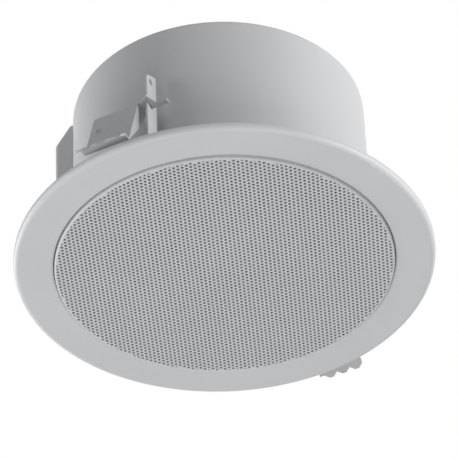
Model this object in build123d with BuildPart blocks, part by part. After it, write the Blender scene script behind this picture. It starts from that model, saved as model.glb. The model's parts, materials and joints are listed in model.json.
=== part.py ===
"""In-ceiling loudspeaker: pressed front frame, perforated grille, drawn steel back can,
two spring clamps that slide on guide bars, and the driver, transformer and terminals inside.

Millimetres. The origin is the centre of the flange's ceiling seat, and +Z points up into the ceiling.
"""

import os
from math import cos, degrees, radians, sin

from build123d import *

# Front frame: one pressing with a turned-up rim, a well for the grille and a baffle
FLANGE_WIDTH = 20.8
FLANGE_DEPTH = 4.0
RIM_RADIUS = 2.6
FRAME_SHEET = 1.0
FRAME_BEND = 0.6
WELL_MARGIN = 2.1
WELL_DEPTH = 6.0
CUTOUT_MARGIN = 9.0

# Grille and the cloth behind it
GRILLE_GAP = 0.5
GRILLE_PROUD = 1.0
GRILLE_SHEET = 0.8
GRILLE_EDGE = 1.2
GRILLE_PITCH = 12.5
GRILLE_HOLE = 7.5
GRILLE_BORDER = 3.5
GRILLE_TURN = -2.8
CLOTH_SHEET = 0.4
CLOTH_MARGIN = 1.0

# Back can
CAN_CLEARANCE = 6.2
CAN_TAPER = 0.5
CAN_HEIGHT = 99.2
CAN_SHEET = 1.0
CAN_TOP_RADIUS = 3.0
CAN_FOOT_BEND = 1.0
BRIM_WIDTH = 8.4

# Small screws, shared by the can, the driver and the terminal housing
SCREW_DIA = 3.0
SCREW_HEAD_DIA = 5.6
SCREW_HEAD = 2.0
SCREW_ROUND = 0.7
RECESS_LENGTH = 2.8
RECESS_WIDTH = 0.7
RECESS_DEPTH = 0.9
SCREW_CLEARANCE = 0.1
SCREW_PAST = 2.0
CAN_SCREW_COUNT = 6
DRIVER_SCREW_COUNT = 4

# Guide bars: a radial fin with a leg riveted to the can wall
GUIDE_ANGLE = 247.3
GUIDE_SHEET = 1.0
GUIDE_REACH = 15.8
GUIDE_FIT = 0.1
LEG_WIDTH = 10.0
LEG_TOP = 22.0
FIN_RELIEF = 4.8
FIN_TOP = 60.6
FIN_SLANT = 5.1
FIN_CORNER = 1.2
EYE_DIA = 4.0
EYE_REACH = 11.0
EYE_HEIGHT = 52.9
RIVET_DIA = 3.0
RIVET_HEAD_DIA = 5.0
RIVET_HEAD = 1.2
RIVET_HEIGHTS = (9.5, 17.0)

# Spring clamps: saddle with a hook round the guide fin, leaning wing and turned-down teeth
CLAMP_ANGLE = 244.0
CLAMP_SHEET = 1.0
CLAMP_BEND = 0.6
SADDLE_HEIGHT = 36.0
SADDLE_REACH = 5.3
WING_REACH = 16.3
WING_LEFT = 24.0
WING_RIGHT = -1.4
FOOT_INSET = 4.3
FOOT_HEIGHT = 4.5
TOOTH_REACH = 7.0
TOOTH_DROP = 6.6
TOOTH_DEPTH = 2.2
TOOTH_PITCH = 7.6
TOOTH_COUNT = 3
SLOT_CLEARANCE = 0.4
HOOK_NOSE = 4.1
NOSE_STRIP = 1.5
HOOK_STRIP = 3.6
HOOK_REACH = 9.3
TAIL_LENGTH = 5.6
TAIL_WIDTH = 3.2
GUSSET_DROP = 6.7
GUSSET_DEPTH = 7.0
GUSSET_FOOT = 7.0
PIP_DIA = 3.0
PIP_RISE = 0.8
PIP_ALONG = 20.0
PIP_HEIGHT = 24.4

# Terminal housing on the can's side
HOUSING_ANGLE = 157.3
HOUSING_PROUD = 3.8
HOUSING_WIDTH = 66.0
HOUSING_BASE = 8.0
HOUSING_TOP = 97.6
HOUSING_DEPTH = 22.0
HOUSING_SHEET = 0.8
HOUSING_EDGE = 3.0
SLOPE_DROP = 12.0
SLOPE_RUN = 9.0
HOUSING_FIT = 0.1
HOUSING_BOSS_DIA = 9.0
HOUSING_SCREW_HEIGHTS = (16.0, 80.0)
WINDOW_WIDTH = 52.0
WINDOW_BASE = 23.0
WINDOW_TOP = 73.0

# Cable grommets in the terminal housing
GROMMET_HEIGHT = 35.0
GROMMET_SPACING = 30.0
GROMMET_DIA = 20.0
GROMMET_NECK_DIA = 15.0
GROMMET_BORE = 9.0
GROMMET_LIP = 2.2
GROMMET_FIT = 0.1

# Ceramic terminal block
BLOCK_WIDTH = 44.0
BLOCK_DEPTH = 18.0
BLOCK_HEIGHT = 18.0
BLOCK_CENTRE_HEIGHT = 59.0
WAY_COUNT = 3
WAY_PITCH = 14.0
TUBE_DIA = 6.0
TUBE_BORE = 3.6
TUBE_FIT = 0.1
TUBE_FROM_FACE = 9.0
WIRE_SCREW_DIA = 3.0
WIRE_SCREW_PITCH = 9.0
WIRE_SCREW_SLOT = 0.7
NUT_ACROSS = 5.5
NUT_HEIGHT = 2.4

# Driver: basket, suspension and cone
GASKET_MARGIN = 12.7
GASKET_THICK = 2.0
BASKET_RIM = 7.8
BASKET_SHEET = 1.0
BASKET_BEND = 1.2
THROAT_MARGIN = 7.5
LEDGE_DIA = 69.0
LEDGE_HEIGHT = 19.0
SEAT_DIA = 56.0
SEAT_HEIGHT = 28.0
SEAT_BORE_DIA = 30.0
BASKET_WINDOWS = 6
BASKET_RIB = 11.0
WINDOW_RIM = 2.5
SURROUND_SHEET = 0.6
SURROUND_LIP = 3.6
ROLL_RADIUS = 3.6
CONE_DIA = 104.0
CONE_LIP = 3.0
CONE_SHEET = 0.8
CONE_DEPTH = 15.0
CONE_BEND = 1.0
CAP_DIA = 32.0
CAP_RISE = 5.0
CAP_SHEET = 0.5
CAP_BULGE = 1.25
SPIDER_SHEET = 0.5
SPIDER_WAVES = 3
SPIDER_AMPLITUDE = 1.0
SPIDER_BEND = 0.75

# Driver: voice coil and magnet
FORMER_BORE = 20.0
FORMER_SHEET = 0.3
COIL_SHEET = 0.6
COIL_LENGTH = 8.0
COIL_GAP = 0.6
POLE_GAP = 0.4
TOP_PLATE_DIA = 70.0
TOP_PLATE = 4.0
MAGNET_DIA = 80.0
MAGNET_BORE = 40.0
MAGNET_HEIGHT = 12.0
BACK_PLATE = 4.0
TAG_STRIP_LENGTH = 18.0
TAG_STRIP_WIDTH = 4.0
TAG_STRIP_THICK = 1.2
TAG_HEIGHT = 6.0
TAG_WIDTH = 3.0
TAG_THICK = 0.6
TAG_SPACING = 10.0
TAG_HOLE_DIA = 1.5
TAG_ANGLE = 60.0

# Line transformer under the can's top; the ratios are those of E and I laminations
LEG = 14.0
CORE_WIDTH_RATIO = 3.0
CORE_HEIGHT_RATIO = 2.5
CORE_WINDOW_RATIO = 1.5
STACK = 16.0
BOBBIN_WALL = 0.8
BOBBIN_FIT = 0.2
WINDING_BUILD = 5.6
WINDING_CORNER = 3.0
BRACKET_SHEET = 1.0
BRACKET_WIDTH = 14.0
BRACKET_FOOT = 11.0
BRACKET_BEND = 0.4
TOP_SCREW_DIA = 4.0
TOP_SCREW_HEAD_DIA = 7.4
TOP_SCREW_HEAD = 2.4

# Heights that follow from the sizes above
face_z = -FLANGE_DEPTH
baffle_front = face_z + WELL_DEPTH
baffle_back = baffle_front + FRAME_SHEET
brim_top = baffle_back + CAN_SHEET
grille_face = face_z - GRILLE_PROUD
cloth_front = grille_face + GRILLE_SHEET
can_inner_top = CAN_HEIGHT - CAN_SHEET
guide_foot = brim_top + CAN_FOOT_BEND
basket_front = baffle_back + GASKET_THICK
basket_back = basket_front + BASKET_SHEET
cone_neck_z = basket_front + CONE_DEPTH
ledge_z = basket_front + LEDGE_HEIGHT
seat_z = basket_front + SEAT_HEIGHT
top_plate_z = seat_z + BASKET_SHEET
magnet_z = top_plate_z + TOP_PLATE
back_plate_z = magnet_z + MAGNET_HEIGHT
coil_middle = top_plate_z + TOP_PLATE / 2

# Radii, from the cone outwards: each ring is placed by the one inside it
cone_radius = CONE_DIA / 2
throat_radius = cone_radius + THROAT_MARGIN
cutout_radius = cone_radius + CUTOUT_MARGIN
gasket_radius = cone_radius + GASKET_MARGIN
basket_radius = gasket_radius + BASKET_RIM
driver_screw_radius = (gasket_radius + basket_radius) / 2
can_radius = basket_radius + CAN_CLEARANCE
can_top_radius = can_radius - CAN_TAPER
brim_radius = can_radius + BRIM_WIDTH
brim_screw_radius = can_radius + CAN_FOOT_BEND + (BRIM_WIDTH - CAN_FOOT_BEND) / 2
well_radius = brim_radius + WELL_MARGIN
grille_radius = well_radius - GRILLE_GAP
flange_radius = well_radius + FLANGE_WIDTH
guide_inner = can_radius + GUIDE_FIT
fin_inner = guide_inner + FIN_RELIEF
fin_outer = can_radius + GUIDE_REACH
housing_face = can_radius + HOUSING_PROUD
ledge_radius = LEDGE_DIA / 2
seat_radius = SEAT_DIA / 2
former_inner = FORMER_BORE / 2
former_outer = former_inner + FORMER_SHEET
coil_outer = former_outer + COIL_SHEET
screw_hole = SCREW_DIA / 2 + SCREW_CLEARANCE

# Line transformer
core_width = CORE_WIDTH_RATIO * LEG
core_height = CORE_HEIGHT_RATIO * LEG
core_window = CORE_WINDOW_RATIO * LEG
core_middle = can_inner_top - core_height / 2
bracket_side = core_width / 2 + BRACKET_BEND

housing_plane = Plane(
    origin=(0, 0, 0),
    x_dir=(-sin(radians(HOUSING_ANGLE)), cos(radians(HOUSING_ANGLE)), 0),
    z_dir=(cos(radians(HOUSING_ANGLE)), sin(radians(HOUSING_ANGLE)), 0),
)
housing_side = Plane(origin=(0, 0, 0), x_dir=housing_plane.z_dir, z_dir=-housing_plane.x_dir)


def bent_section(plane, points, radii, sheet, side=Side.LEFT):
    """Section of a bent sheet: a path with rounded corners, thickened to one side."""
    with BuildSketch(plane) as section:
        with BuildLine():
            FilletPolyline(*points, radius=radii)
            offset(amount=sheet, side=side)
        make_face()
    return section.sketch


def rivet_plane(turn):
    """Plane through the can's axis that faces out through a guide bar's leg."""
    leg_angle = radians(GUIDE_ANGLE + turn) + LEG_WIDTH / 2 / guide_inner
    leg_out = (cos(leg_angle), sin(leg_angle), 0)
    return Plane(origin=(0, 0, 0), x_dir=(-leg_out[1], leg_out[0], 0), z_dir=leg_out)


def pan_screw(dia, length, head_dia, head, rounding):
    """Pan head screw with a cross recess: the head stands on the origin and the shank hangs below it."""
    with BuildPart() as screw:
        Cylinder(head_dia / 2, head, align=(Align.CENTER, Align.CENTER, Align.MIN))
        fillet(screw.edges().sort_by(Axis.Z)[-1], radius=rounding)
        Cylinder(dia / 2, length, align=(Align.CENTER, Align.CENTER, Align.MAX))
        with Locations((0, 0, head)):
            for turn in (0, 90):
                Box(
                    RECESS_LENGTH,
                    RECESS_WIDTH,
                    2 * RECESS_DEPTH,
                    rotation=(0, 0, turn),
                    mode=Mode.SUBTRACT,
                )
    return screw.part


def grommet():
    """Rubber grommet for a sheet whose outer face lies on the origin, with its bore along Z."""
    lip = GROMMET_DIA / 2
    neck = GROMMET_NECK_DIA / 2
    with BuildPart() as ring:
        with BuildSketch(Plane.XZ):
            with BuildLine():
                Polyline(
                    (GROMMET_BORE / 2, -HOUSING_SHEET - GROMMET_LIP),
                    (lip, -HOUSING_SHEET - GROMMET_LIP),
                    (lip, -HOUSING_SHEET),
                    (neck, -HOUSING_SHEET),
                    (neck, 0),
                    (lip, 0),
                    (lip - GROMMET_LIP / 2, GROMMET_LIP),
                    (GROMMET_BORE / 2, GROMMET_LIP),
                    close=True,
                )
            make_face()
        revolve(axis=Axis.Z)
    return ring.part


os.makedirs("parts", exist_ok=True)

# Front frame: flange, grille well and baffle in one pressing
with BuildPart() as front_frame:
    frame_path = (
        (cutout_radius, baffle_front),
        (well_radius, baffle_front),
        (well_radius, face_z),
        (flange_radius, face_z),
        (flange_radius, 0),
    )
    frame_bends = [FRAME_BEND, FRAME_BEND + FRAME_SHEET, RIM_RADIUS]
    revolve(bent_section(Plane.XZ, frame_path, frame_bends, FRAME_SHEET), axis=Axis.Z)
    with BuildSketch(Plane.XY.offset(baffle_front)):
        with PolarLocations(brim_screw_radius, CAN_SCREW_COUNT, start_angle=HOUSING_ANGLE):
            Circle(screw_hole)
        with PolarLocations(driver_screw_radius, DRIVER_SCREW_COUNT, start_angle=TAG_ANGLE):
            Circle(screw_hole)
    extrude(amount=FRAME_SHEET, mode=Mode.SUBTRACT)
front_frame.part.label = "front_frame"
export_step(front_frame.part, "parts/front_frame.step")

# Grille: shallow perforated cap whose rim stands in the well
with BuildPart() as grille:
    rim_top = baffle_front - FRAME_BEND
    grille_path = ((0, grille_face), (grille_radius, grille_face), (grille_radius, rim_top))
    revolve(bent_section(Plane.XZ, grille_path, [GRILLE_EDGE], GRILLE_SHEET), axis=Axis.Z)
    hole_field = grille_radius - GRILLE_BORDER
    hole_rows = 2 * int(hole_field / GRILLE_PITCH / cos(radians(30))) + 1
    hole_spots = HexLocations(GRILLE_PITCH / 2, hole_rows, hole_rows).local_locations
    inside_spots = [spot for spot in hole_spots if spot.position.length + GRILLE_HOLE / 2 < hole_field]
    with BuildSketch(Plane.XY.offset(grille_face).rotated((0, 0, GRILLE_TURN))):
        with Locations(*inside_spots):
            Circle(GRILLE_HOLE / 2)
    extrude(amount=GRILLE_SHEET, mode=Mode.SUBTRACT)
grille.part.label = "grille"
export_step(grille.part, "parts/grille.step")

# Cloth that keeps dust out of the driver
with BuildPart() as dust_cloth:
    with BuildSketch(Plane.XY.offset(cloth_front)):
        Circle(grille_radius - GRILLE_EDGE - CLOTH_MARGIN)
    extrude(amount=CLOTH_SHEET)
dust_cloth.part.label = "dust_cloth"
export_step(dust_cloth.part, "parts/dust_cloth.step")

# Back can: drawn in one piece with its brim, with a window behind the terminal housing
with BuildPart() as back_can:
    can_path = (
        (brim_radius, brim_top),
        (can_radius, brim_top),
        (can_top_radius, CAN_HEIGHT),
        (0, CAN_HEIGHT),
    )
    revolve(bent_section(Plane.XZ, can_path, [CAN_FOOT_BEND, CAN_TOP_RADIUS], CAN_SHEET), axis=Axis.Z)
    with BuildSketch(Plane.XY.offset(baffle_back)):
        with PolarLocations(brim_screw_radius, CAN_SCREW_COUNT, start_angle=HOUSING_ANGLE):
            Circle(screw_hole)
    extrude(amount=CAN_SHEET, mode=Mode.SUBTRACT)
    with BuildSketch(Plane.XY.offset(can_inner_top)):
        with GridLocations(2 * (bracket_side + BRACKET_SHEET) + BRACKET_FOOT, 0, 2, 1):
            Circle(TOP_SCREW_DIA / 2 + SCREW_CLEARANCE)
    extrude(amount=CAN_SHEET, mode=Mode.SUBTRACT)
    with BuildSketch(housing_plane):
        with Locations((0, (WINDOW_BASE + WINDOW_TOP) / 2)):
            RectangleRounded(WINDOW_WIDTH, WINDOW_TOP - WINDOW_BASE, HOUSING_EDGE)
        with Locations(*((0, height) for height in HOUSING_SCREW_HEIGHTS)):
            Circle(screw_hole)
    extrude(amount=brim_radius, mode=Mode.SUBTRACT)
    for turn in (0, 180):
        with BuildSketch(rivet_plane(turn)):
            with Locations(*((0, height) for height in RIVET_HEIGHTS)):
                Circle(RIVET_DIA / 2 + SCREW_CLEARANCE)
        extrude(amount=brim_radius, mode=Mode.SUBTRACT)
back_can.part.label = "back_can"
export_step(back_can.part, "parts/back_can.step")

# Screws that hold the can's brim to the baffle
with BuildPart(Plane.XY.offset(brim_top)) as can_screws:
    with PolarLocations(brim_screw_radius, CAN_SCREW_COUNT, start_angle=HOUSING_ANGLE):
        add(
            pan_screw(
                SCREW_DIA,
                CAN_SHEET + FRAME_SHEET + SCREW_PAST,
                SCREW_HEAD_DIA,
                SCREW_HEAD,
                SCREW_ROUND,
            )
        )
can_screws.part.label = "can_screws"
export_step(can_screws.part, "parts/can_screws.step")

# Guide bars and their rivets, turned by half a circle for the far side
for side, turn in (("near", 0), ("far", 180)):
    guide_angle = radians(GUIDE_ANGLE + turn)
    guide_out = (cos(guide_angle), sin(guide_angle), 0)
    guide_plane = Plane(origin=(0, 0, guide_foot), x_dir=guide_out, z_dir=(0, 0, 1))
    fin_plane = Plane(origin=(0, 0, 0), x_dir=guide_out, z_dir=(guide_out[1], -guide_out[0], 0))
    with BuildPart() as guide_bar:
        with BuildSketch(guide_plane):
            with BuildLine():
                CenterArc((0, 0), guide_inner, 0, degrees(LEG_WIDTH / guide_inner))
                offset(amount=GUIDE_SHEET, side=Side.RIGHT)
            make_face()
        extrude(amount=LEG_TOP - guide_foot)
        with BuildSketch(fin_plane):
            with BuildLine():
                Polyline(
                    (guide_inner, guide_foot),
                    (fin_outer, guide_foot),
                    (fin_outer, FIN_TOP - FIN_SLANT - FIN_CORNER),
                    (fin_outer - FIN_CORNER, FIN_TOP - FIN_SLANT),
                    (fin_inner, FIN_TOP),
                    (fin_inner, LEG_TOP),
                    (guide_inner, LEG_TOP),
                    close=True,
                )
            make_face()
            with Locations((can_radius + EYE_REACH, EYE_HEIGHT)):
                Circle(EYE_DIA / 2, mode=Mode.SUBTRACT)
        extrude(amount=-GUIDE_SHEET)
        with BuildSketch(rivet_plane(turn)):
            with Locations(*((0, height) for height in RIVET_HEIGHTS)):
                Circle(RIVET_DIA / 2 + SCREW_CLEARANCE)
        extrude(amount=fin_outer, mode=Mode.SUBTRACT)
    guide_bar.part.label = f"guide_bar_{side}"
    export_step(guide_bar.part, f"parts/guide_bar_{side}.step")

    with BuildPart() as guide_rivets:
        with BuildSketch(rivet_plane(turn).offset(guide_inner + GUIDE_SHEET)):
            with Locations(*((0, height) for height in RIVET_HEIGHTS)):
                Circle(RIVET_HEAD_DIA / 2)
        extrude(amount=RIVET_HEAD)
        fillet(guide_rivets.edges().group_by(lambda edge: edge.center().length)[-1], radius=RIVET_HEAD / 2)
        with BuildSketch(rivet_plane(turn).offset(guide_inner + GUIDE_SHEET)):
            with Locations(*((0, height) for height in RIVET_HEIGHTS)):
                Circle(RIVET_DIA / 2)
        extrude(amount=-GUIDE_SHEET - GUIDE_FIT - CAN_SHEET - RIVET_HEAD)
    guide_rivets.part.label = f"guide_rivets_{side}"
    export_step(guide_rivets.part, f"parts/guide_rivets_{side}.step")

# Spring clamps: one bent strip each, with a hook that runs on the guide fin
for side, turn in (("near", 0), ("far", 180)):
    clamp_angle = radians(CLAMP_ANGLE + turn)
    clamp_out = (cos(clamp_angle), sin(clamp_angle), 0)
    clamp_left = (clamp_out[1], -clamp_out[0], 0)
    section_plane = Plane(origin=(0, 0, 0), x_dir=clamp_out, z_dir=clamp_left)
    saddle_plane = Plane(origin=(0, 0, SADDLE_HEIGHT), x_dir=clamp_out, z_dir=(0, 0, -1))
    guide_angle = radians(GUIDE_ANGLE + turn)
    guide_out = (cos(guide_angle), sin(guide_angle), 0)
    slot_plane = Plane(origin=(0, 0, SADDLE_HEIGHT), x_dir=guide_out, z_dir=(0, 0, -1))
    saddle_inner = can_radius + SADDLE_REACH
    saddle_top = SADDLE_HEIGHT + CLAMP_SHEET
    wing_top = can_radius + WING_REACH
    wing_foot = flange_radius - FOOT_INSET
    foot_top = FOOT_HEIGHT + CLAMP_SHEET
    tooth_tip = flange_radius + TOOTH_REACH
    lean = (wing_foot - wing_top) / (saddle_top - foot_top)
    with BuildPart() as clamp:
        strip_path = (
            (saddle_inner, saddle_top),
            (wing_top, saddle_top),
            (wing_foot, foot_top),
            (flange_radius, foot_top),
            (tooth_tip, foot_top - TOOTH_DROP),
        )
        outside_bend = CLAMP_BEND + CLAMP_SHEET
        strip = bent_section(
            section_plane.offset(WING_RIGHT),
            strip_path,
            [outside_bend, CLAMP_BEND, outside_bend],
            CLAMP_SHEET,
            Side.RIGHT,
        )
        extrude(strip, amount=WING_LEFT - WING_RIGHT)
        gusset_inner = wing_top - GUSSET_DEPTH
        gusset_low = wing_top + lean * (SADDLE_HEIGHT - GUSSET_FOOT) - CLAMP_SHEET
        with BuildSketch(section_plane.offset(WING_RIGHT)):
            with BuildLine():
                Polyline(
                    (gusset_inner, SADDLE_HEIGHT),
                    (gusset_inner, SADDLE_HEIGHT - GUSSET_DROP),
                    (gusset_low, GUSSET_FOOT),
                    (gusset_low + CLAMP_SHEET / 2, GUSSET_FOOT),
                    (wing_top - CLAMP_SHEET / 2, SADDLE_HEIGHT),
                    close=True,
                )
            make_face()
        extrude(amount=CLAMP_SHEET)
        fin_face = -fin_outer * sin(guide_angle - clamp_angle) - GUIDE_SHEET
        hook_inner = can_radius + HOOK_REACH
        tail_end = fin_face - HOOK_STRIP - TAIL_LENGTH
        with BuildSketch(saddle_plane):
            with BuildLine():
                Polyline(
                    (saddle_inner, WING_RIGHT + CLAMP_SHEET),
                    (saddle_inner, fin_face + GUIDE_SHEET),
                    (hook_inner, fin_face + GUIDE_SHEET / 2),
                    (hook_inner, tail_end),
                    (hook_inner + TAIL_WIDTH, tail_end),
                    (hook_inner + TAIL_WIDTH, fin_face - HOOK_STRIP),
                    (fin_outer + HOOK_NOSE, fin_face - NOSE_STRIP),
                    (wing_top - outside_bend, WING_RIGHT + CLAMP_SHEET),
                    close=True,
                )
            make_face()
        extrude(amount=-CLAMP_SHEET)
        with BuildSketch(slot_plane):
            with Locations((fin_inner - SLOT_CLEARANCE, -GUIDE_SHEET - SLOT_CLEARANCE)):
                Rectangle(
                    fin_outer - fin_inner + 2 * SLOT_CLEARANCE,
                    GUIDE_SHEET + 2 * SLOT_CLEARANCE,
                    align=(Align.MIN, Align.MIN),
                )
        extrude(amount=-CLAMP_SHEET, mode=Mode.SUBTRACT)
        tooth_root = tooth_tip - TOOTH_DEPTH
        past_tip = tooth_tip + CLAMP_SHEET
        teeth = [(tooth_root, WING_LEFT)]
        for number in range(TOOTH_COUNT):
            tooth_left = WING_LEFT - number * TOOTH_PITCH
            teeth += [(tooth_tip, tooth_left - TOOTH_PITCH / 2), (tooth_root, tooth_left - TOOTH_PITCH)]
        with BuildSketch(saddle_plane):
            with BuildLine():
                Polyline(
                    *teeth,
                    (tooth_root, WING_RIGHT),
                    (past_tip, WING_RIGHT),
                    (past_tip, WING_LEFT),
                    close=True,
                )
            make_face()
        extrude(amount=SADDLE_HEIGHT + TOOTH_DROP, mode=Mode.SUBTRACT)
        pip_out = wing_top + lean * (saddle_top - PIP_HEIGHT) - CLAMP_SHEET / 2
        wing_plane = Plane(
            origin=section_plane.from_local_coords((pip_out, PIP_HEIGHT, PIP_ALONG)),
            x_dir=clamp_left,
            z_dir=(clamp_out[0], clamp_out[1], lean),
        )
        with BuildSketch(wing_plane):
            Circle(PIP_DIA / 2)
        extrude(amount=CLAMP_SHEET / 2 + PIP_RISE)
    clamp.part.label = f"clamp_{side}"
    export_step(clamp.part, f"parts/clamp_{side}.step")

# Terminal housing: flat-faced cover with a sloped top, trimmed to the can's wall
with BuildPart() as terminal_housing:
    housing_back = housing_face - HOUSING_DEPTH
    with BuildSketch(housing_side.offset(-HOUSING_WIDTH / 2)):
        with BuildLine():
            Polyline(
                (housing_back, HOUSING_BASE),
                (housing_face, HOUSING_BASE),
                (housing_face, HOUSING_TOP - SLOPE_DROP),
                (housing_face - SLOPE_RUN, HOUSING_TOP),
                (housing_back, HOUSING_TOP),
                close=True,
            )
        make_face()
    extrude(amount=HOUSING_WIDTH)
    back_face = terminal_housing.faces().sort_by(lambda face: face.center().dot(housing_plane.z_dir))[0]
    fillet(terminal_housing.edges() - back_face.edges(), radius=HOUSING_EDGE)
    back_face = terminal_housing.faces().sort_by(lambda face: face.center().dot(housing_plane.z_dir))[0]
    offset(amount=-HOUSING_SHEET, openings=back_face)
    with BuildSketch(housing_plane.offset(can_top_radius - CAN_SHEET)):
        with Locations(*((0, height) for height in HOUSING_SCREW_HEIGHTS)):
            Circle(HOUSING_BOSS_DIA / 2)
    extrude(amount=housing_face - HOUSING_SHEET - can_top_radius + CAN_SHEET)
    with BuildSketch(housing_plane):
        with Locations(*((0, height) for height in HOUSING_SCREW_HEIGHTS)):
            Circle(screw_hole)
        with Locations((0, GROMMET_HEIGHT)):
            with GridLocations(GROMMET_SPACING, 0, 2, 1):
                Circle(GROMMET_NECK_DIA / 2 + GROMMET_FIT)
        with Locations((0, BLOCK_CENTRE_HEIGHT)):
            with GridLocations(WAY_PITCH, 0, WAY_COUNT - 1, 1):
                Circle(screw_hole)
    extrude(amount=housing_face, mode=Mode.SUBTRACT)
    with Locations((0, 0, 0)):
        Cone(
            can_radius + HOUSING_FIT,
            can_top_radius + HOUSING_FIT,
            CAN_HEIGHT,
            align=(Align.CENTER, Align.CENTER, Align.MIN),
            mode=Mode.SUBTRACT,
        )
terminal_housing.part.label = "terminal_housing"
export_step(terminal_housing.part, "parts/terminal_housing.step")

# Screws of the housing, through its bosses into the can's wall
with BuildPart(housing_plane.offset(housing_face)) as housing_screws:
    with Locations(*((0, height) for height in HOUSING_SCREW_HEIGHTS)):
        add(
            pan_screw(
                SCREW_DIA,
                housing_face - can_top_radius + CAN_SHEET + SCREW_PAST,
                SCREW_HEAD_DIA,
                SCREW_HEAD,
                SCREW_ROUND,
            )
        )
housing_screws.part.label = "housing_screws"
export_step(housing_screws.part, "parts/housing_screws.step")

# Rubber grommets: a lip on each side of the housing's sheet
with BuildPart(housing_plane.offset(housing_face)) as cable_grommets:
    with Locations((0, GROMMET_HEIGHT)):
        with GridLocations(GROMMET_SPACING, 0, 2, 1):
            add(grommet())
cable_grommets.part.label = "cable_grommets"
export_step(cable_grommets.part, "parts/cable_grommets.step")

# Ceramic terminal block on the housing's inner face
block_front = housing_face - HOUSING_SHEET
tube_dist = block_front - TUBE_FROM_FACE
block_back = block_front - BLOCK_DEPTH
with BuildPart() as terminal_block:
    with BuildSketch(housing_plane.offset(block_back)):
        with Locations((0, BLOCK_CENTRE_HEIGHT)):
            Rectangle(BLOCK_WIDTH, BLOCK_HEIGHT)
    extrude(amount=BLOCK_DEPTH)
    with BuildSketch(housing_plane.offset(block_back)):
        with Locations((0, BLOCK_CENTRE_HEIGHT)):
            with GridLocations(WAY_PITCH, 0, WAY_COUNT - 1, 1):
                Circle(screw_hole)
    extrude(amount=BLOCK_DEPTH, mode=Mode.SUBTRACT)
    with BuildSketch(housing_plane.offset(block_back)):
        with Locations((0, BLOCK_CENTRE_HEIGHT)):
            with GridLocations(WAY_PITCH, WIRE_SCREW_PITCH, WAY_COUNT, 2):
                Circle(WIRE_SCREW_DIA / 2 + TUBE_FIT)
    extrude(amount=tube_dist - block_back, mode=Mode.SUBTRACT)
    tube_axis_plane = Plane(
        origin=housing_plane.from_local_coords((0, BLOCK_CENTRE_HEIGHT, tube_dist)),
        x_dir=housing_plane.x_dir,
        z_dir=(0, 0, 1),
    )
    with BuildSketch(tube_axis_plane):
        with GridLocations(WAY_PITCH, 0, WAY_COUNT, 1):
            Circle(TUBE_DIA / 2 + TUBE_FIT)
    extrude(amount=BLOCK_HEIGHT / 2, both=True, mode=Mode.SUBTRACT)
terminal_block.part.label = "terminal_block"
export_step(terminal_block.part, "parts/terminal_block.step")

# Brass tubes that take the cable cores
with BuildPart() as terminal_tubes:
    with BuildSketch(tube_axis_plane):
        with GridLocations(WAY_PITCH, 0, WAY_COUNT, 1):
            Circle(TUBE_DIA / 2)
            Circle(TUBE_BORE / 2, mode=Mode.SUBTRACT)
    extrude(amount=BLOCK_HEIGHT / 2, both=True)
    with BuildSketch(housing_plane.offset(block_back)):
        with Locations((0, BLOCK_CENTRE_HEIGHT)):
            with GridLocations(WAY_PITCH, WIRE_SCREW_PITCH, WAY_COUNT, 2):
                Circle(WIRE_SCREW_DIA / 2 + TUBE_FIT)
    extrude(amount=tube_dist - block_back, mode=Mode.SUBTRACT)
terminal_tubes.part.label = "terminal_tubes"
export_step(terminal_tubes.part, "parts/terminal_tubes.step")

# Slotted screws that pinch the cores in the tubes
with BuildPart() as wire_screws:
    with BuildSketch(housing_plane.offset(block_back)):
        with Locations((0, BLOCK_CENTRE_HEIGHT)):
            with GridLocations(WAY_PITCH, WIRE_SCREW_PITCH, WAY_COUNT, 2):
                Circle(WIRE_SCREW_DIA / 2)
    extrude(amount=tube_dist - TUBE_BORE / 2 - block_back)
    with BuildSketch(housing_plane.offset(block_back)):
        with Locations((0, BLOCK_CENTRE_HEIGHT)):
            with GridLocations(WAY_PITCH, WIRE_SCREW_PITCH, WAY_COUNT, 2):
                Rectangle(2 * WIRE_SCREW_DIA, WIRE_SCREW_SLOT)
    extrude(amount=WIRE_SCREW_SLOT, mode=Mode.SUBTRACT)
wire_screws.part.label = "wire_screws"
export_step(wire_screws.part, "parts/wire_screws.step")

# Bolts through the housing's face and the block, with a nut behind each
with BuildPart(housing_plane.offset(housing_face)) as block_bolts:
    with Locations((0, BLOCK_CENTRE_HEIGHT)):
        with GridLocations(WAY_PITCH, 0, WAY_COUNT - 1, 1):
            add(
                pan_screw(
                    SCREW_DIA,
                    HOUSING_SHEET + BLOCK_DEPTH + NUT_HEIGHT + SCREW_PAST,
                    SCREW_HEAD_DIA,
                    SCREW_HEAD,
                    SCREW_ROUND,
                )
            )
block_bolts.part.label = "block_bolts"
export_step(block_bolts.part, "parts/block_bolts.step")

with BuildPart() as block_nuts:
    with BuildSketch(housing_plane.offset(block_back)):
        with Locations((0, BLOCK_CENTRE_HEIGHT)):
            with GridLocations(WAY_PITCH, 0, WAY_COUNT - 1, 1):
                RegularPolygon(NUT_ACROSS / 2, 6, major_radius=False)
                Circle(screw_hole, mode=Mode.SUBTRACT)
    extrude(amount=-NUT_HEIGHT)
block_nuts.part.label = "block_nuts"
export_step(block_nuts.part, "parts/block_nuts.step")

# Driver gasket between the basket and the baffle
with BuildPart() as driver_gasket:
    with BuildSketch(Plane.XY.offset(baffle_back)):
        Circle(basket_radius)
        Circle(gasket_radius, mode=Mode.SUBTRACT)
        with PolarLocations(driver_screw_radius, DRIVER_SCREW_COUNT, start_angle=TAG_ANGLE):
            Circle(screw_hole, mode=Mode.SUBTRACT)
    extrude(amount=GASKET_THICK)
driver_gasket.part.label = "driver_gasket"
export_step(driver_gasket.part, "parts/driver_gasket.step")

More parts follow.
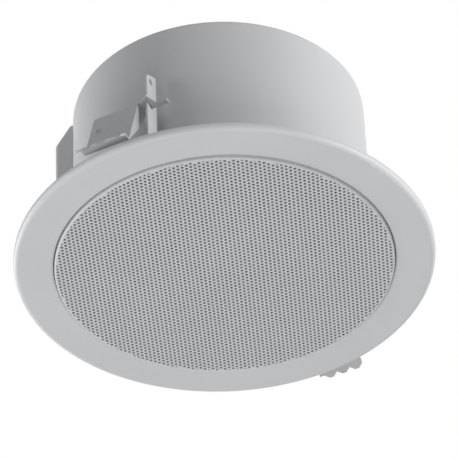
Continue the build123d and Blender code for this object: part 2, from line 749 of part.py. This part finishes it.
# Driver basket: pressed bowl with windows, a ledge for the spider and a seat for the magnet
with BuildPart() as driver_basket:
    basket_path = (
        (SEAT_BORE_DIA / 2, seat_z),
        (seat_radius, seat_z),
        (seat_radius, ledge_z),
        (ledge_radius, ledge_z),
        (throat_radius, basket_front),
        (basket_radius, basket_front),
    )
    inside_bend = BASKET_BEND
    outside_bend = BASKET_BEND + BASKET_SHEET
    basket_bends = [inside_bend, outside_bend, inside_bend, outside_bend]
    revolve(bent_section(Plane.XZ, basket_path, basket_bends, BASKET_SHEET), axis=Axis.Z)
    window_inner = ledge_radius + WINDOW_RIM + BASKET_SHEET
    window_outer = throat_radius - WINDOW_RIM - BASKET_SHEET
    with BuildSketch(Plane.XY.offset(basket_front)):
        Circle(window_outer)
        Circle(window_inner, mode=Mode.SUBTRACT)
        with PolarLocations(0, BASKET_WINDOWS, start_angle=TAG_ANGLE):
            Rectangle(window_outer, BASKET_RIB, align=(Align.MIN, Align.CENTER), mode=Mode.SUBTRACT)
    extrude(amount=LEDGE_HEIGHT, mode=Mode.SUBTRACT)
    with BuildSketch(Plane.XY.offset(basket_front)):
        with PolarLocations(driver_screw_radius, DRIVER_SCREW_COUNT, start_angle=TAG_ANGLE):
            Circle(screw_hole)
    extrude(amount=BASKET_SHEET, mode=Mode.SUBTRACT)
driver_basket.part.label = "driver_basket"
export_step(driver_basket.part, "parts/driver_basket.step")

# Screws that hold the driver to the baffle
with BuildPart(Plane.XY.offset(basket_back)) as driver_screws:
    with PolarLocations(driver_screw_radius, DRIVER_SCREW_COUNT, start_angle=TAG_ANGLE):
        add(
            pan_screw(
                SCREW_DIA,
                basket_back - baffle_front + SCREW_PAST,
                SCREW_HEAD_DIA,
                SCREW_HEAD,
                SCREW_ROUND,
            )
        )
driver_screws.part.label = "driver_screws"
export_step(driver_screws.part, "parts/driver_screws.step")

# Surround: a half roll between two flat lips, glued to the basket and to the cone
roll_outer = cone_radius + 2 * ROLL_RADIUS
with BuildPart() as surround:
    with BuildSketch(Plane.XZ):
        with BuildLine():
            inner_lip = Line((cone_radius - CONE_LIP, basket_front), (cone_radius, basket_front))
            roll = ThreePointArc(
                inner_lip @ 1,
                (cone_radius + ROLL_RADIUS, basket_front - ROLL_RADIUS),
                (roll_outer, basket_front),
            )
            Line(roll @ 1, (roll_outer + SURROUND_LIP, basket_front))
            offset(amount=SURROUND_SHEET, side=Side.RIGHT)
        make_face()
    revolve(axis=Axis.Z)
surround.part.label = "surround"
export_step(surround.part, "parts/surround.step")

# Cone: paper cone with a flat rim
neck_radius = former_outer
with BuildPart() as cone:
    cone_path = (
        (neck_radius, cone_neck_z),
        (cone_radius - CONE_LIP, basket_front),
        (cone_radius, basket_front),
    )
    revolve(bent_section(Plane.XZ, cone_path, [CONE_BEND + CONE_SHEET], CONE_SHEET), axis=Axis.Z)
    Cylinder(
        neck_radius,
        can_inner_top,
        align=(Align.CENTER, Align.CENTER, Align.MIN),
        mode=Mode.SUBTRACT,
    )
cone.part.label = "cone"
export_step(cone.part, "parts/cone.step")

# Dust cap: shallow dome over the cone's neck
cone_slope = CONE_DEPTH / (cone_radius - CONE_LIP - neck_radius)
cap_base = cone_neck_z - (CAP_DIA / 2 - neck_radius) * cone_slope
with BuildPart() as dust_cap:
    with BuildSketch(Plane.XZ):
        with BuildLine():
            SagittaArc((0, cap_base - CAP_RISE), (CAP_DIA / 2, cap_base - CAP_SHEET), -CAP_BULGE)
            offset(amount=CAP_SHEET, side=Side.LEFT)
        make_face()
    revolve(axis=Axis.Z)
dust_cap.part.label = "dust_cap"
export_step(dust_cap.part, "parts/dust_cap.step")

# Voice coil: former tube from the cone's neck into the magnet gap, and its winding
with BuildPart() as coil_former:
    former_end = coil_middle + COIL_LENGTH / 2
    with BuildSketch(Plane.XY.offset(cone_neck_z)):
        Circle(former_outer)
        Circle(former_inner, mode=Mode.SUBTRACT)
    extrude(amount=former_end - cone_neck_z)
coil_former.part.label = "coil_former"
export_step(coil_former.part, "parts/coil_former.step")

with BuildPart() as voice_coil:
    with BuildSketch(Plane.XY.offset(coil_middle)):
        Circle(coil_outer)
        Circle(former_outer, mode=Mode.SUBTRACT)
    extrude(amount=COIL_LENGTH / 2, both=True)
voice_coil.part.label = "voice_coil"
export_step(voice_coil.part, "parts/voice_coil.step")

# Spider: corrugated cloth disc from the coil former to the basket's ledge
with BuildPart() as spider:
    wave_start = former_outer + SPIDER_SHEET
    wave_end = seat_radius - BASKET_SHEET
    wave_step = (wave_end - wave_start) / (4 * SPIDER_WAVES)
    spider_z = ledge_z - SPIDER_SHEET
    wave_points = [(wave_start, spider_z)]
    for wave in range(SPIDER_WAVES):
        wave_foot = wave_start + 4 * wave * wave_step
        wave_points.append((wave_foot + wave_step, spider_z - SPIDER_AMPLITUDE))
        wave_points.append((wave_foot + 3 * wave_step, spider_z + SPIDER_AMPLITUDE))
    wave_points += [(wave_end, spider_z), (ledge_radius - BASKET_BEND - BASKET_SHEET, spider_z)]
    wave_bends = [SPIDER_BEND] * (len(wave_points) - 2)
    revolve(bent_section(Plane.XZ, wave_points, wave_bends, SPIDER_SHEET), axis=Axis.Z)
spider.part.label = "spider"
export_step(spider.part, "parts/spider.step")

# Magnet system: top plate, ring magnet, and back plate with its pole
with BuildPart() as top_plate:
    with BuildSketch(Plane.XY.offset(top_plate_z)):
        Circle(TOP_PLATE_DIA / 2)
        Circle(coil_outer + COIL_GAP, mode=Mode.SUBTRACT)
    extrude(amount=TOP_PLATE)
top_plate.part.label = "top_plate"
export_step(top_plate.part, "parts/top_plate.step")

with BuildPart() as magnet:
    with BuildSketch(Plane.XY.offset(magnet_z)):
        Circle(MAGNET_DIA / 2)
        Circle(MAGNET_BORE / 2, mode=Mode.SUBTRACT)
    extrude(amount=MAGNET_HEIGHT)
magnet.part.label = "magnet"
export_step(magnet.part, "parts/magnet.step")

with BuildPart() as pole_plate:
    with BuildSketch(Plane.XY.offset(back_plate_z)):
        Circle(TOP_PLATE_DIA / 2)
    extrude(amount=BACK_PLATE)
    with BuildSketch(Plane.XY.offset(back_plate_z)):
        Circle(former_inner - POLE_GAP)
    extrude(amount=top_plate_z - back_plate_z)
pole_plate.part.label = "pole_plate"
export_step(pole_plate.part, "parts/pole_plate.step")

# Tag strip on the ledge's back, with two solder tags
ledge_back = ledge_z + BASKET_SHEET
tag_radius = (seat_radius + BASKET_SHEET + ledge_radius) / 2 + BASKET_SHEET / 2
tag_out = (cos(radians(TAG_ANGLE)), sin(radians(TAG_ANGLE)), 0)
tag_plane = Plane(
    origin=(tag_radius * tag_out[0], tag_radius * tag_out[1], ledge_back),
    x_dir=tag_out,
    z_dir=(0, 0, 1),
)
with BuildPart() as tag_strip:
    with BuildSketch(tag_plane):
        Rectangle(TAG_STRIP_WIDTH, TAG_STRIP_LENGTH)
    extrude(amount=TAG_STRIP_THICK)
tag_strip.part.label = "tag_strip"
export_step(tag_strip.part, "parts/tag_strip.step")

with BuildPart() as solder_tags:
    with BuildSketch(tag_plane.offset(TAG_STRIP_THICK)):
        with GridLocations(0, TAG_SPACING, 1, 2):
            Rectangle(TAG_THICK, TAG_WIDTH)
    extrude(amount=TAG_HEIGHT)
    with BuildSketch(Plane(origin=tag_plane.origin, x_dir=tag_plane.y_dir, z_dir=tag_plane.x_dir)):
        with Locations((0, TAG_STRIP_THICK + TAG_HEIGHT - TAG_WIDTH / 2)):
            with GridLocations(TAG_SPACING, 0, 2, 1):
                Circle(TAG_HOLE_DIA / 2)
    extrude(amount=TAG_THICK, both=True, mode=Mode.SUBTRACT)
solder_tags.part.label = "solder_tags"
export_step(solder_tags.part, "parts/solder_tags.step")

# Line transformer: laminated core, bobbin, winding, and the bracket that hangs it from the can's top
with BuildPart() as transformer_core:
    with BuildSketch(Plane.XZ):
        with Locations((0, core_middle)):
            Rectangle(core_width, core_height)
            with GridLocations(core_window, 0, 2, 1):
                Rectangle(LEG / 2, core_window, mode=Mode.SUBTRACT)
    extrude(amount=STACK / 2, both=True)
transformer_core.part.label = "transformer_core"
export_step(transformer_core.part, "parts/transformer_core.step")

bore_x = LEG + 2 * BOBBIN_FIT
bore_y = STACK + 2 * BOBBIN_FIT
cheek_x = 2 * LEG - 2 * BOBBIN_FIT
cheek_y = STACK + 2 * BOBBIN_WALL + 2 * WINDING_BUILD
bobbin_height = core_window - 2 * BOBBIN_FIT
with BuildPart() as transformer_bobbin:
    with BuildSketch(Plane.XY.offset(core_middle - bobbin_height / 2)):
        Rectangle(cheek_x, cheek_y)
    extrude(amount=BOBBIN_WALL)
    with BuildSketch(Plane.XY.offset(core_middle + bobbin_height / 2)):
        Rectangle(cheek_x, cheek_y)
    extrude(amount=-BOBBIN_WALL)
    with BuildSketch(Plane.XY.offset(core_middle)):
        Rectangle(bore_x + 2 * BOBBIN_WALL, bore_y + 2 * BOBBIN_WALL)
    extrude(amount=bobbin_height / 2, both=True)
    with BuildSketch(Plane.XY.offset(core_middle)):
        Rectangle(bore_x, bore_y)
    extrude(amount=bobbin_height / 2, both=True, mode=Mode.SUBTRACT)
transformer_bobbin.part.label = "transformer_bobbin"
export_step(transformer_bobbin.part, "parts/transformer_bobbin.step")

with BuildPart() as transformer_winding:
    with BuildSketch(Plane.XY.offset(core_middle)):
        RectangleRounded(cheek_x - 2 * BOBBIN_FIT, cheek_y - 2 * BOBBIN_FIT, WINDING_CORNER)
        Rectangle(bore_x + 2 * BOBBIN_WALL, bore_y + 2 * BOBBIN_WALL, mode=Mode.SUBTRACT)
    extrude(amount=bobbin_height / 2 - BOBBIN_WALL, both=True)
transformer_winding.part.label = "transformer_winding"
export_step(transformer_winding.part, "parts/transformer_winding.step")

with BuildPart() as transformer_bracket:
    core_bottom = can_inner_top - core_height
    foot_end = bracket_side + BRACKET_SHEET + BRACKET_FOOT
    foot_z = can_inner_top - BRACKET_SHEET
    bracket_path = (
        (-foot_end, foot_z),
        (-bracket_side - BRACKET_SHEET, foot_z),
        (-bracket_side - BRACKET_SHEET, core_bottom - BRACKET_SHEET),
        (bracket_side + BRACKET_SHEET, core_bottom - BRACKET_SHEET),
        (bracket_side + BRACKET_SHEET, foot_z),
        (foot_end, foot_z),
    )
    outside = BRACKET_BEND + BRACKET_SHEET
    bracket = bent_section(
        Plane.XZ.offset(-BRACKET_WIDTH / 2),
        bracket_path,
        [BRACKET_BEND, outside, outside, BRACKET_BEND],
        BRACKET_SHEET,
    )
    extrude(bracket, amount=BRACKET_WIDTH)
    with BuildSketch(Plane.XY.offset(foot_z)):
        with GridLocations(2 * (bracket_side + BRACKET_SHEET) + BRACKET_FOOT, 0, 2, 1):
            Circle(TOP_SCREW_DIA / 2 + SCREW_CLEARANCE)
    extrude(amount=BRACKET_SHEET, mode=Mode.SUBTRACT)
transformer_bracket.part.label = "transformer_bracket"
export_step(transformer_bracket.part, "parts/transformer_bracket.step")

with BuildPart(Plane.XY.offset(CAN_HEIGHT)) as transformer_screws:
    with GridLocations(2 * (bracket_side + BRACKET_SHEET) + BRACKET_FOOT, 0, 2, 1):
        add(
            pan_screw(
                TOP_SCREW_DIA,
                CAN_SHEET + BRACKET_SHEET + SCREW_PAST,
                TOP_SCREW_HEAD_DIA,
                TOP_SCREW_HEAD,
                SCREW_ROUND,
            )
        )
transformer_screws.part.label = "transformer_screws"
export_step(transformer_screws.part, "parts/transformer_screws.step")
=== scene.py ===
import json
import math

import bpy
import numpy as np
from mathutils import Matrix, Vector
from mathutils.geometry import delaunay_2d_cdt


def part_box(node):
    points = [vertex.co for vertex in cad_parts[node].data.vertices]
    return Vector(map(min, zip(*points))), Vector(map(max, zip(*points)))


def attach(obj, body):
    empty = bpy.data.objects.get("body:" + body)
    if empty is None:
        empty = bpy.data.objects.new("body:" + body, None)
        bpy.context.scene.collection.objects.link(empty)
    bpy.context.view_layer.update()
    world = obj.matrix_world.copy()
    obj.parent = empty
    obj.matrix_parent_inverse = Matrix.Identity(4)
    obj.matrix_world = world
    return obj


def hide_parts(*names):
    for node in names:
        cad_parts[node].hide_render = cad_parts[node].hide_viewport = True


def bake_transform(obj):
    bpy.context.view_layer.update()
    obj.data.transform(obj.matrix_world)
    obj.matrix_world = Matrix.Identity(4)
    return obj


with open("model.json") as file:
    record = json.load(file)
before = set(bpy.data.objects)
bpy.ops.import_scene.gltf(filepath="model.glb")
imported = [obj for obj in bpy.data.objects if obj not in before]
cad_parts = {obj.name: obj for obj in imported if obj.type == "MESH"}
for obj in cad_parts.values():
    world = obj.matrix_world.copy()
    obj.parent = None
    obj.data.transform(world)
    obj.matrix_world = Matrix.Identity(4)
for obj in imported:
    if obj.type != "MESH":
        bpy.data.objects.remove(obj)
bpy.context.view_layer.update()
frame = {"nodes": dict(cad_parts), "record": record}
nodes = frame["nodes"]

MM = 0.001

# Camera, as found from the flange's and the can's outlines in the photograph
IMAGE_SIZE = 458
CAMERA_BELOW = math.radians(38.68)
CAMERA_ROLL = math.radians(-2.57)
CAMERA_DISTANCE = 1836 * MM
FOCAL_PIXELS = 3523.1
ORIGIN_PIXEL = (224.69, 261.42)
SENSOR_WIDTH = 36.0
CLIP_END = 100

# Perforated sheet of the grille; holes at its edge are cut short a margin before the bend
SHEET = 0.8 * MM
SHEET_BEND = 1.0 * MM
HOLE_RADIUS = 0.85 * MM
HOLE_PITCH = 2.5 * MM
HOLE_SIDES = 8
LATTICE_ANGLE = math.radians(87.2)
HOLE_MARGIN = 0.15 * MM
HOLE_CLIP = 0.3
LATTICE_REACH = 1.3
WELD = 1e-6
SHARP_ANGLE = math.radians(40)
RIM_SIDES = 192
BEND_STEPS = 6

# Surround, drawn as a ring of sectors between the cone and the basket
LIP_INSIDE = 3.0 * MM
LIP_OUTSIDE = 3.6 * MM
ROLL_RADIUS = 3.6 * MM
SKIN = 0.6 * MM
SECTORS = 24
SECTOR_STEPS = 4
ROLL_STEPS = 12

# Materials: where a tone's ramp starts and ends, and noise scales in features per metre
TONE_LOW = 0.3
TONE_HIGH = 0.7
COAT_CLOUD = 18
COAT_SHEEN = 120
COAT_PEEL = 1300
PLATE_CLOUD = 60
PLATE_LINES = 900

# Stage; each light has a name, a place in metres, a size and a power in watts
FLOOR_DROP = 2.7
FLOOR_SIZE = 14.0
FLOOR_GLOW = 0.3
AMBIENT = 0.13
LIGHTS = (
    ("right_front", (1.5, -0.7, 0.3), 0.3, 13.8),
    ("right", (1.65, 0.1, 0.3), 0.5, 6.1),
    ("below_front", (0, -0.9, -1.9), 1.2, 16),
    ("left_behind", (-1.4, 0.9, -0.1), 0.7, 14),
    ("left_front", (-1.5, -0.6, -0.1), 0.5, 3.4),
)


def srgb(red, green, blue):
    """Linear colour of an sRGB colour given in 0 to 255."""
    channels = [value / 255 for value in (red, green, blue)]
    linear = [c / 12.92 if c <= 0.04045 else ((c + 0.055) / 1.055) ** 2.4 for c in channels]
    return tuple(linear) + (1.0,)


class Nodes:
    """Short way to build one material's node tree."""

    def __init__(self, name):
        self.material = bpy.data.materials.new(name)
        self.material.use_nodes = True
        self.tree = self.material.node_tree
        self.shader = self.tree.nodes["Principled BSDF"]
        self.place = self.add("ShaderNodeTexCoord").outputs["Object"]

    def add(self, kind, **values):
        node = self.tree.nodes.new(kind)
        for key, value in values.items():
            setattr(node, key, value)
        return node

    def link(self, source, target):
        self.tree.links.new(source, target)

    def noise(self, scale, detail=4.0, roughness=0.55, stretch=(1, 1, 1)):
        """Noise over the object's own place; scale is in features per metre."""
        mapping = self.add("ShaderNodeMapping")
        mapping.inputs["Scale"].default_value = stretch
        self.link(self.place, mapping.inputs["Vector"])
        node = self.add("ShaderNodeTexNoise")
        node.inputs["Scale"].default_value = scale
        node.inputs["Detail"].default_value = detail
        node.inputs["Roughness"].default_value = roughness
        self.link(mapping.outputs["Vector"], node.inputs["Vector"])
        return node.outputs["Fac"]

    def ramp(self, factor, stops):
        node = self.add("ShaderNodeValToRGB")
        for index, (position, colour) in enumerate(stops):
            if index < 2:
                stop = node.color_ramp.elements[index]
                stop.position = position
            else:
                stop = node.color_ramp.elements.new(position)
            stop.color = colour
        self.link(factor, node.inputs["Fac"])
        return node.outputs["Color"]

    def spread(self, factor, low, high):
        node = self.add("ShaderNodeMapRange")
        node.inputs["To Min"].default_value = low
        node.inputs["To Max"].default_value = high
        self.link(factor, node.inputs["Value"])
        return node.outputs["Result"]

    def bump(self, factor, strength, distance):
        node = self.add("ShaderNodeBump")
        node.inputs["Strength"].default_value = strength
        node.inputs["Distance"].default_value = distance
        self.link(factor, node.inputs["Height"])
        self.link(node.outputs["Normal"], self.shader.inputs["Normal"])

    def tone(self, factor, colour, dark, light):
        """Base colour that goes from a darker to a lighter shade with the factor."""
        stops = ((TONE_LOW, shade(colour, dark)), (TONE_HIGH, shade(colour, light)))
        self.link(self.ramp(factor, stops), self.shader.inputs["Base Color"])

    def rough(self, factor, low, high):
        """Roughness between two values."""
        self.link(self.spread(factor, low, high), self.shader.inputs["Roughness"])

    def set(self, **values):
        for key, value in values.items():
            self.shader.inputs[key.replace("_", " ")].default_value = value


def shade(colour, factor):
    return tuple(channel * factor for channel in colour[:3]) + (1.0,)


def powder_coat(name, colour):
    """Satin powder coat: fine orange peel and a very slight unevenness of tone."""
    m = Nodes(name)
    m.tone(m.noise(COAT_CLOUD, 3), colour, 0.975, 1.02)
    m.rough(m.noise(COAT_SHEEN, 3), 0.42, 0.52)
    m.bump(m.noise(COAT_PEEL, 2), strength=0.12, distance=0.12 * MM)
    return m.material


def plated_steel(name, colour, rough=(0.42, 0.58), metal=0.15, stretch=(1, 1, 1)):
    """Dull plated steel: mottled grey with faint rolling lines; metal sets how much it mirrors."""
    m = Nodes(name)
    m.tone(m.noise(PLATE_CLOUD, 5), colour, 0.93, 1.05)
    lines = m.noise(PLATE_LINES, 2, 0.5, stretch)
    m.rough(lines, *rough)
    m.bump(lines, strength=0.08, distance=0.08 * MM)
    m.set(Metallic=metal)
    return m.material


def matt(name, colour, rough=0.7, grain=600, strength=0.2, depth=0.0001, spread=0.12):
    """Matt surface with a grain: rubber, ceramic, paper, moulded plastic."""
    m = Nodes(name)
    m.tone(m.noise(grain / 8, 4), colour, 1 - spread, 1 + spread)
    m.bump(m.noise(grain, 3), strength, depth)
    m.set(Roughness=rough)
    return m.material


def woven(name, colour, threads):
    """Plain weave: two crossed waves, threads per metre each way."""
    m = Nodes(name)
    waves = []
    for turn in (0, math.pi / 2):
        mapping = m.add("ShaderNodeMapping")
        mapping.inputs["Rotation"].default_value = (0, 0, turn)
        m.link(m.place, mapping.inputs["Vector"])
        wave = m.add("ShaderNodeTexWave", wave_type="BANDS")
        wave.inputs["Scale"].default_value = threads / (2 * math.pi)
        m.link(mapping.outputs["Vector"], wave.inputs["Vector"])
        waves.append(wave.outputs["Fac"])
    mix = m.add("ShaderNodeMath", operation="MAXIMUM")
    m.link(waves[0], mix.inputs[0])
    m.link(waves[1], mix.inputs[1])
    stops = ((0.2, shade(colour, 0.5)), (0.9, shade(colour, 1.25)))
    m.link(m.ramp(mix.outputs["Value"], stops), m.shader.inputs["Base Color"])
    m.bump(mix.outputs["Value"], strength=0.5, distance=0.2 * MM)
    m.set(Roughness=0.9)
    return m.material


PAINT = srgb(214, 215, 217)
materials = {
    "paint": powder_coat("paint", PAINT),
    "zinc": plated_steel("zinc", srgb(208, 210, 212)),
    # Spring steel is drawn darker than the zinc: a painted shade that stands in for the shade on the
    # clamps' wings, gussets and under their toothed feet
    "spring_steel": plated_steel("spring_steel", srgb(188, 190, 192)),
    "cloth": woven("cloth", srgb(52, 53, 55), 2200),
    "rubber": matt("rubber", srgb(38, 38, 39), 0.62),
    "foam": matt("foam", srgb(44, 44, 45), 0.9, 1800, 0.6, 0.0003),
    "ceramic": matt("ceramic", srgb(232, 228, 216), 0.55, 400, 0.1, 0.00008, 0.03),
    "brass": plated_steel("brass", srgb(214, 178, 98), (0.25, 0.4), 1.0),
    "black_paint": powder_coat("black_paint", srgb(36, 36, 38)),
    "paper": matt("paper", srgb(46, 45, 44), 0.85, 1500, 0.5, 0.0002),
    "copper": plated_steel("copper", srgb(184, 104, 62), (0.3, 0.45), 0.8, (1, 1, 60)),
    "spider_cloth": woven("spider_cloth", srgb(196, 156, 84), 1800),
    "ferrite": matt("ferrite", srgb(58, 58, 60), 0.6, 900, 0.3, 0.00015),
    "lamination": plated_steel("lamination", srgb(120, 120, 124), (0.4, 0.6), 0.7, (1, 40, 1)),
    "plastic": matt("plastic", srgb(222, 214, 190), 0.5, 500, 0.1, 0.00005, 0.04),
}


def dress_nodes():
    """Every CAD node gets the material of its slot."""
    slots = {row["node"]: row["material_slot"] for row in frame["record"]["subparts"]}
    for name, node in nodes.items():
        node.data.materials.clear()
        node.data.materials.append(materials[slots[name]])


def new_object(name, vertices, faces, material):
    mesh = bpy.data.meshes.new(name)
    mesh.from_pydata(vertices, [], faces)
    mesh.update()
    mesh.materials.append(material)
    piece = bpy.data.objects.new(name, mesh)
    bpy.context.scene.collection.objects.link(piece)
    return piece


def hole_centres(reach):
    """Centres of a staggered perforation that lie within reach of the axis."""
    first = HOLE_PITCH * np.array((math.cos(LATTICE_ANGLE), math.sin(LATTICE_ANGLE)))
    turned = LATTICE_ANGLE + math.pi / 3
    second = HOLE_PITCH * np.array((math.cos(turned), math.sin(turned)))
    count = int(reach / HOLE_PITCH * LATTICE_REACH)
    steps = np.arange(-count, count + 1)
    grid = steps[:, None, None] * first + steps[None, :, None] * second
    centres = grid.reshape(-1, 2)
    return centres[np.hypot(centres[:, 0], centres[:, 1]) < reach]


def ring(radius, sides):
    turn = np.arange(sides) * 2 * math.pi / sides
    return np.stack((radius * np.cos(turn), radius * np.sin(turn)), axis=1)


def perforated_flat(flat):
    """Flat perforated disc: its points, its triangles, its rim's points and the edges round its holes."""
    limit = flat - HOLE_MARGIN
    centres = hole_centres(limit + HOLE_CLIP * HOLE_RADIUS)
    corners = ring(HOLE_RADIUS, HOLE_SIDES)
    holes = (centres[:, None, :] + corners[None, :, :]).reshape(-1, 2)
    distances = np.hypot(holes[:, 0], holes[:, 1])
    holes *= np.minimum(1, limit / np.maximum(distances, limit))[:, None]
    outline = np.concatenate((ring(flat, RIM_SIDES), holes))
    rim_edges = [(i, (i + 1) % RIM_SIDES) for i in range(RIM_SIDES)]
    hole_edges = []
    for start in range(RIM_SIDES, len(outline), HOLE_SIDES):
        hole_edges += [(start + side, start + (side + 1) % HOLE_SIDES) for side in range(HOLE_SIDES)]
    cdt = delaunay_2d_cdt([Vector(p) for p in outline / MM], rim_edges + hole_edges, [], 0, WELD)
    points = np.array([(v.x, v.y) for v in cdt[0]]) * MM
    triangles = np.array(cdt[2])
    from_cdt = {}
    for index, sources in enumerate(cdt[3]):
        for source in sources:
            from_cdt[source] = index
    hole_of = -np.ones(len(points), int)
    for source in range(RIM_SIDES, len(outline)):
        hole_of[from_cdt[source]] = (source - RIM_SIDES) // HOLE_SIDES
    owners = hole_of[triangles]
    same = (owners[:, 0] == owners[:, 1]) & (owners[:, 1] == owners[:, 2])
    in_hole = same & (owners[:, 0] >= 0)
    rim = [from_cdt[i] for i in range(RIM_SIDES)]
    walls = [(from_cdt[a], from_cdt[b]) for a, b in hole_edges]
    return points, triangles[~in_hole].tolist(), rim, walls


def rim_section(flat, radius, face, top):
    """Section of the grille's bent rim as (radius, height) points, from its outer bend to its inner one."""
    turns = [math.pi / 2 * step / BEND_STEPS for step in range(1, BEND_STEPS + 1)]
    centre = face + SHEET_BEND
    inner = SHEET_BEND - SHEET
    section = [(flat + SHEET_BEND * math.sin(t), centre - SHEET_BEND * math.cos(t)) for t in turns]
    section += [(radius, top), (radius - SHEET, top)]
    section += [(flat + inner * math.sin(t), centre - inner * math.cos(t)) for t in reversed(turns)]
    return section


def perforated_grille():
    """The grille's true perforation: a flat sheet full of holes with a rim bent up into the well."""
    low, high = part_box("grille")
    radius = high.x
    face = low.z
    flat = radius - SHEET_BEND
    points, triangles, rim, walls = perforated_flat(flat)
    count = len(points)
    vertices = [(x, y, z) for z in (face, face + SHEET) for x, y in points]
    faces = [(c, b, a) for a, b, c in triangles]
    faces += [(a + count, b + count, c + count) for a, b, c in triangles]
    faces += [(a, a + count, b + count, b) for a, b in walls]
    rows = [rim]
    for distance, height in rim_section(flat, radius, face, high.z):
        rows.append(list(range(len(vertices), len(vertices) + RIM_SIDES)))
        vertices += [(x, y, height) for x, y in ring(distance, RIM_SIDES)]
    rows.append([i + count for i in rim])
    for row, after in zip(rows, rows[1:]):
        for i in range(RIM_SIDES):
            j = (i + 1) % RIM_SIDES
            faces.append((row[i], row[j], after[j], after[i]))
    grille = new_object("grille_sheet", vertices, faces, materials["paint"])
    grille.data.polygons.foreach_set("use_smooth", [True] * len(grille.data.polygons))
    grille.data.set_sharp_from_angle(angle=SHARP_ANGLE)
    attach(grille, "root")
    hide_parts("grille")


def surround_section(outside, level):
    """Section of the surround as (radius, height) points: a half roll between two flat lips."""
    middle = outside - LIP_OUTSIDE - ROLL_RADIUS
    inside = middle - ROLL_RADIUS - LIP_INSIDE
    reach = ROLL_RADIUS + SKIN
    upper = [(inside, level)]
    lower = [(inside, level - SKIN)]
    for step in range(ROLL_STEPS + 1):
        turn = math.pi * (1 + step / ROLL_STEPS)
        across = math.cos(turn)
        along = math.sin(turn)
        upper.append((middle + ROLL_RADIUS * across, level + ROLL_RADIUS * along))
        lower.append((middle + reach * across, level + min(reach * along, -SKIN)))
    upper.append((outside, level))
    lower.append((outside, level - SKIN))
    return upper + lower[::-1]


def flexing_surround():
    """The surround as a ring of sectors, each a half roll between its inner and outer lips."""
    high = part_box("surround")[1]
    section = surround_section(high.x, high.z)
    count = len(section)
    width = 2 * math.pi / SECTORS
    for number in range(SECTORS):
        vertices = []
        faces = []
        for step in range(SECTOR_STEPS + 1):
            turn = width * (number + step / SECTOR_STEPS)
            vertices += [(r * math.cos(turn), r * math.sin(turn), z) for r, z in section]
        for step in range(SECTOR_STEPS):
            first = step * count
            second = first + count
            for i in range(count):
                j = (i + 1) % count
                faces.append((first + i, first + j, second + j, second + i))
        faces.append(tuple(reversed(range(count))))
        faces.append(tuple(range(SECTOR_STEPS * count, (SECTOR_STEPS + 1) * count)))
        piece = new_object(f"surround_{number + 1:02d}", vertices, faces, materials["rubber"])
        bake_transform(piece)
        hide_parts("surround")


def place_camera():
    """Camera at the photograph's place: below and in front, aimed so that the origin falls on its pixel."""
    forward = Vector((0, math.cos(CAMERA_BELOW), math.sin(CAMERA_BELOW)))
    level = Vector((1, 0, 0))
    upright = level.cross(forward)
    right = math.cos(CAMERA_ROLL) * level + math.sin(CAMERA_ROLL) * upright
    up = -math.sin(CAMERA_ROLL) * level + math.cos(CAMERA_ROLL) * upright
    aside = (IMAGE_SIZE / 2 - ORIGIN_PIXEL[0]) / FOCAL_PIXELS
    above = (ORIGIN_PIXEL[1] - IMAGE_SIZE / 2) / FOCAL_PIXELS
    aim = (forward + aside * right + above * up).normalized()
    right = (right - right.dot(aim) * aim).normalized()
    up = right.cross(aim)
    data = bpy.data.cameras.new("camera")
    data.sensor_width = SENSOR_WIDTH
    data.lens = FOCAL_PIXELS / IMAGE_SIZE * SENSOR_WIDTH
    data.clip_end = CLIP_END
    camera = bpy.data.objects.new("camera", data)
    bpy.context.scene.collection.objects.link(camera)
    turn = Matrix((right, up, -aim)).transposed()
    camera.matrix_world = Matrix.Translation(-CAMERA_DISTANCE * forward) @ turn.to_4x4()
    bpy.context.scene.camera = camera


def area_light(name, place, size, power):
    data = bpy.data.lights.new(name, "AREA")
    data.shape = "SQUARE"
    data.size = size
    data.energy = power
    light = bpy.data.objects.new(name, data)
    light.location = place
    light.visible_camera = False
    light.rotation_euler = (-Vector(place)).to_track_quat("-Z", "Y").to_euler()
    bpy.context.scene.collection.objects.link(light)


def build_stage():
    """Pale floor well below, white ground for the camera, and soft light from both sides."""
    scene = bpy.context.scene
    scene.view_settings.view_transform = "Standard"
    world = bpy.data.worlds.new("studio")
    world.use_nodes = True
    scene.world = world
    tree = world.node_tree
    tree.nodes.clear()
    path = tree.nodes.new("ShaderNodeLightPath")
    seen = path.outputs["Is Camera Ray"]
    for output in ("Is Glossy Ray", "Is Transmission Ray"):
        either = tree.nodes.new("ShaderNodeMath")
        either.operation = "MAXIMUM"
        tree.links.new(seen, either.inputs[0])
        tree.links.new(path.outputs[output], either.inputs[1])
        seen = either.outputs["Value"]
    ambient = tree.nodes.new("ShaderNodeBackground")
    ambient.inputs["Strength"].default_value = AMBIENT
    ground = tree.nodes.new("ShaderNodeBackground")
    ground.inputs["Color"].default_value = (1, 1, 1, 1)
    ground.inputs["Strength"].default_value = 1.0
    mix = tree.nodes.new("ShaderNodeMixShader")
    tree.links.new(seen, mix.inputs["Fac"])
    tree.links.new(ambient.outputs["Background"], mix.inputs[1])
    tree.links.new(ground.outputs["Background"], mix.inputs[2])
    out = tree.nodes.new("ShaderNodeOutputWorld")
    tree.links.new(mix.outputs["Shader"], out.inputs["Surface"])

    half = FLOOR_SIZE / 2
    signs = ((-1, -1), (1, -1), (1, 1), (-1, 1))
    corners = [(half * across, half * along, -FLOOR_DROP) for across, along in signs]
    pale = matt("floor", srgb(236, 236, 236), 0.9, 20, 0.05, 0.001, 0.01)
    glow = pale.node_tree.nodes["Principled BSDF"].inputs
    glow["Emission Color"].default_value = (1, 1, 1, 1)
    glow["Emission Strength"].default_value = FLOOR_GLOW
    floor = new_object("floor", corners, [(0, 1, 2, 3)], pale)

    for light in LIGHTS:
        area_light(*light)


dress_nodes()
perforated_grille()
flexing_surround()
place_camera()
build_stage()
